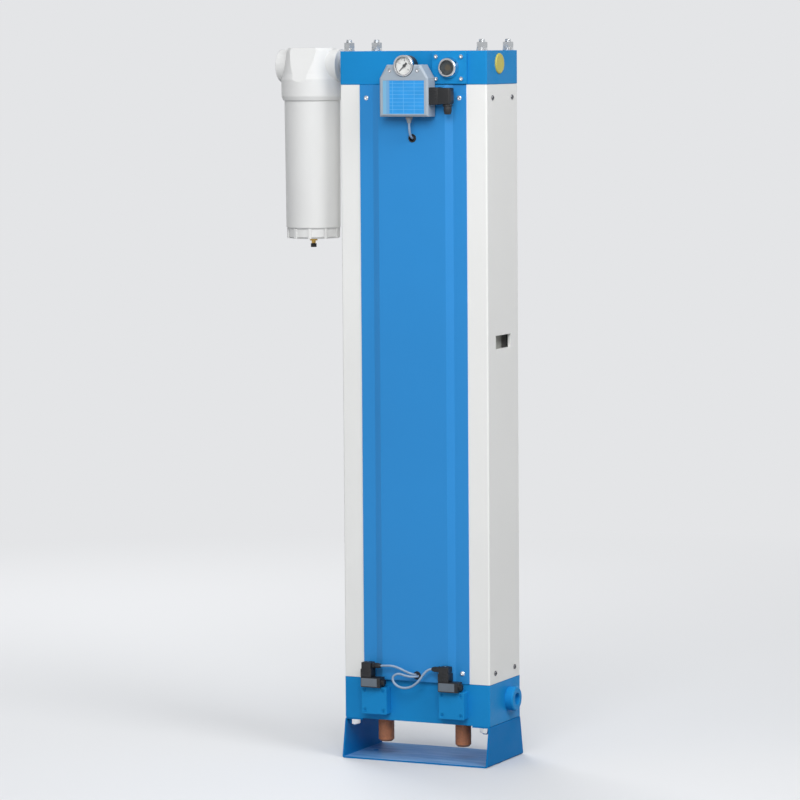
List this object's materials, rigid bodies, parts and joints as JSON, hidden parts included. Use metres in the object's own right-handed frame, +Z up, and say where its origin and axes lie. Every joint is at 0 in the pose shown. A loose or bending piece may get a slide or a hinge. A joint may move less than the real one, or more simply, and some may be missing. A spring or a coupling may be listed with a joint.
{
  "type": "desiccant air dryer",
  "caption": "Tall twin-column desiccant compressed-air dryer: folded covers between upper and lower manifolds, side prefilter, gauge, controller, solenoid exhaust valves and floor bracket.",
  "frame": {"origin": "floor level, midway between the anchor holes, under the middle of the tower", "axes": "+Z up the columns, front with gauge and controller towards -Y, prefilter towards -X"},
  "size_m": [0.465, 0.2, 1.3575],
  "materials": {
    "base_blue": "gloss paint on folded steel sheet",
    "manifold_blue": "gloss paint on cast aluminium",
    "panel_blue": "satin paint on folded steel sheet",
    "cover_white": "satin white paint on folded steel sheet",
    "filter_white": "white powder coat on cast aluminium",
    "zinc_steel": "bright zinc plate",
    "nickel": "bright nickel plate",
    "bare_aluminium": "extruded, bare",
    "seal_rubber": "matt black rubber",
    "desiccant": "packed beads shown as one solid",
    "black_plastic": "fine moulded grain",
    "dial_white": "matt white",
    "clear_glass": "clear and polished",
    "housing_grey": "fine moulded grain",
    "board_green": "solder resist",
    "label_blue": "smooth foil",
    "gland_grey": "moulded",
    "lead_grey": "smooth sheath",
    "brass": "turned",
    "plug_yellow": "moulded",
    "bronze": "sintered bronze, grainy",
    "element_cream": "wrapped filter medium"
  },
  "bodies": {
    "tower": {"base_bracket": "base_blue", "bottom_manifold": "manifold_blue", "top_manifold": "manifold_blue", "tie_rods": "zinc_steel", "tie_rod_nuts": "zinc_steel", "tie_rod_washers": "zinc_steel", "left_column": "bare_aluminium", "right_column": "bare_aluminium", "transfer_tube": "bare_aluminium", "o_rings": "seal_rubber", "left_desiccant_bed": "desiccant", "right_desiccant_bed": "desiccant", "bed_strainers": "zinc_steel", "bed_springs": "zinc_steel", "left_side_cover": "cover_white", "right_side_cover": "cover_white", "front_panel": "panel_blue", "rear_panel": "panel_blue", "sheet_screws": "zinc_steel", "gauge_case": "black_plastic", "gauge_bezel": "nickel", "gauge_dial": "dial_white", "gauge_lens": "clear_glass", "controller_housing": "housing_grey", "controller_board": "board_green", "controller_label": "label_blue", "controller_gland": "gland_grey", "controller_lead": "lead_grey", "lead_grommets": "seal_rubber", "power_plug": "black_plastic", "cap_screws": "zinc_steel", "indicator_flange": "manifold_blue", "indicator_bezel": "nickel", "indicator_glass": "clear_glass", "indicator_card": "brass", "outlet_plug": "plug_yellow", "shuttle_seats": "brass", "end_caps": "manifold_blue", "left_valve_cover": "manifold_blue", "right_valve_cover": "manifold_blue", "left_exhaust_spring": "zinc_steel", "right_exhaust_spring": "zinc_steel", "left_coil": "black_plastic", "right_coil": "black_plastic", "left_valve_plug": "black_plastic", "right_valve_plug": "black_plastic", "left_valve_lead": "lead_grey", "right_valve_lead": "lead_grey", "exhaust_silencers": "bronze", "filter_nipple": "nickel", "filter_head": "filter_white", "filter_bowl": "filter_white", "filter_element": "element_cream", "drain_body": "brass"},
    "pointer": {"gauge_pointer": "black_plastic"},
    "drain": {"drain_knob": "black_plastic"},
    "inlet_spool": {"inlet_shuttle": "black_plastic"},
    "outlet_spool": {"outlet_shuttle": "black_plastic"},
    "left_piston": {"left_exhaust_piston": "bare_aluminium"},
    "right_piston": {"right_exhaust_piston": "bare_aluminium"}
  },
  "joints": [
    {"name": "pointer_turn", "type": "hinge", "parent": "tower", "child": "pointer", "pos_m": [0, -0.1086, 1.309], "axis": [0, 1, 0], "range_deg": [0, 270]},
    {"name": "drain_turn", "type": "hinge", "parent": "tower", "child": "drain", "pos_m": [-0.2365, -0.014, 0.972], "axis": [0, 0, 1], "range_deg": [0, 180]},
    {"name": "inlet_shift", "type": "slide", "parent": "tower", "child": "inlet_spool", "axis": [1, 0, 0], "range_m": [-0.0037, 0.0037]},
    {"name": "outlet_shift", "type": "slide", "parent": "tower", "child": "outlet_spool", "axis": [1, 0, 0], "range_m": [-0.0037, 0.0037]},
    {"name": "left_exhaust_lift", "type": "slide", "parent": "tower", "child": "left_piston", "axis": [0, -1, 0], "range_m": [0, 0.008], "stiffness_N_per_m": 2000, "springref_m": -0.004, "deforming": ["left_exhaust_spring"]},
    {"name": "right_exhaust_lift", "type": "slide", "parent": "tower", "child": "right_piston", "axis": [0, -1, 0], "range_m": [0, 0.008], "stiffness_N_per_m": 2000, "springref_m": -0.004, "deforming": ["right_exhaust_spring"]}
  ]
}
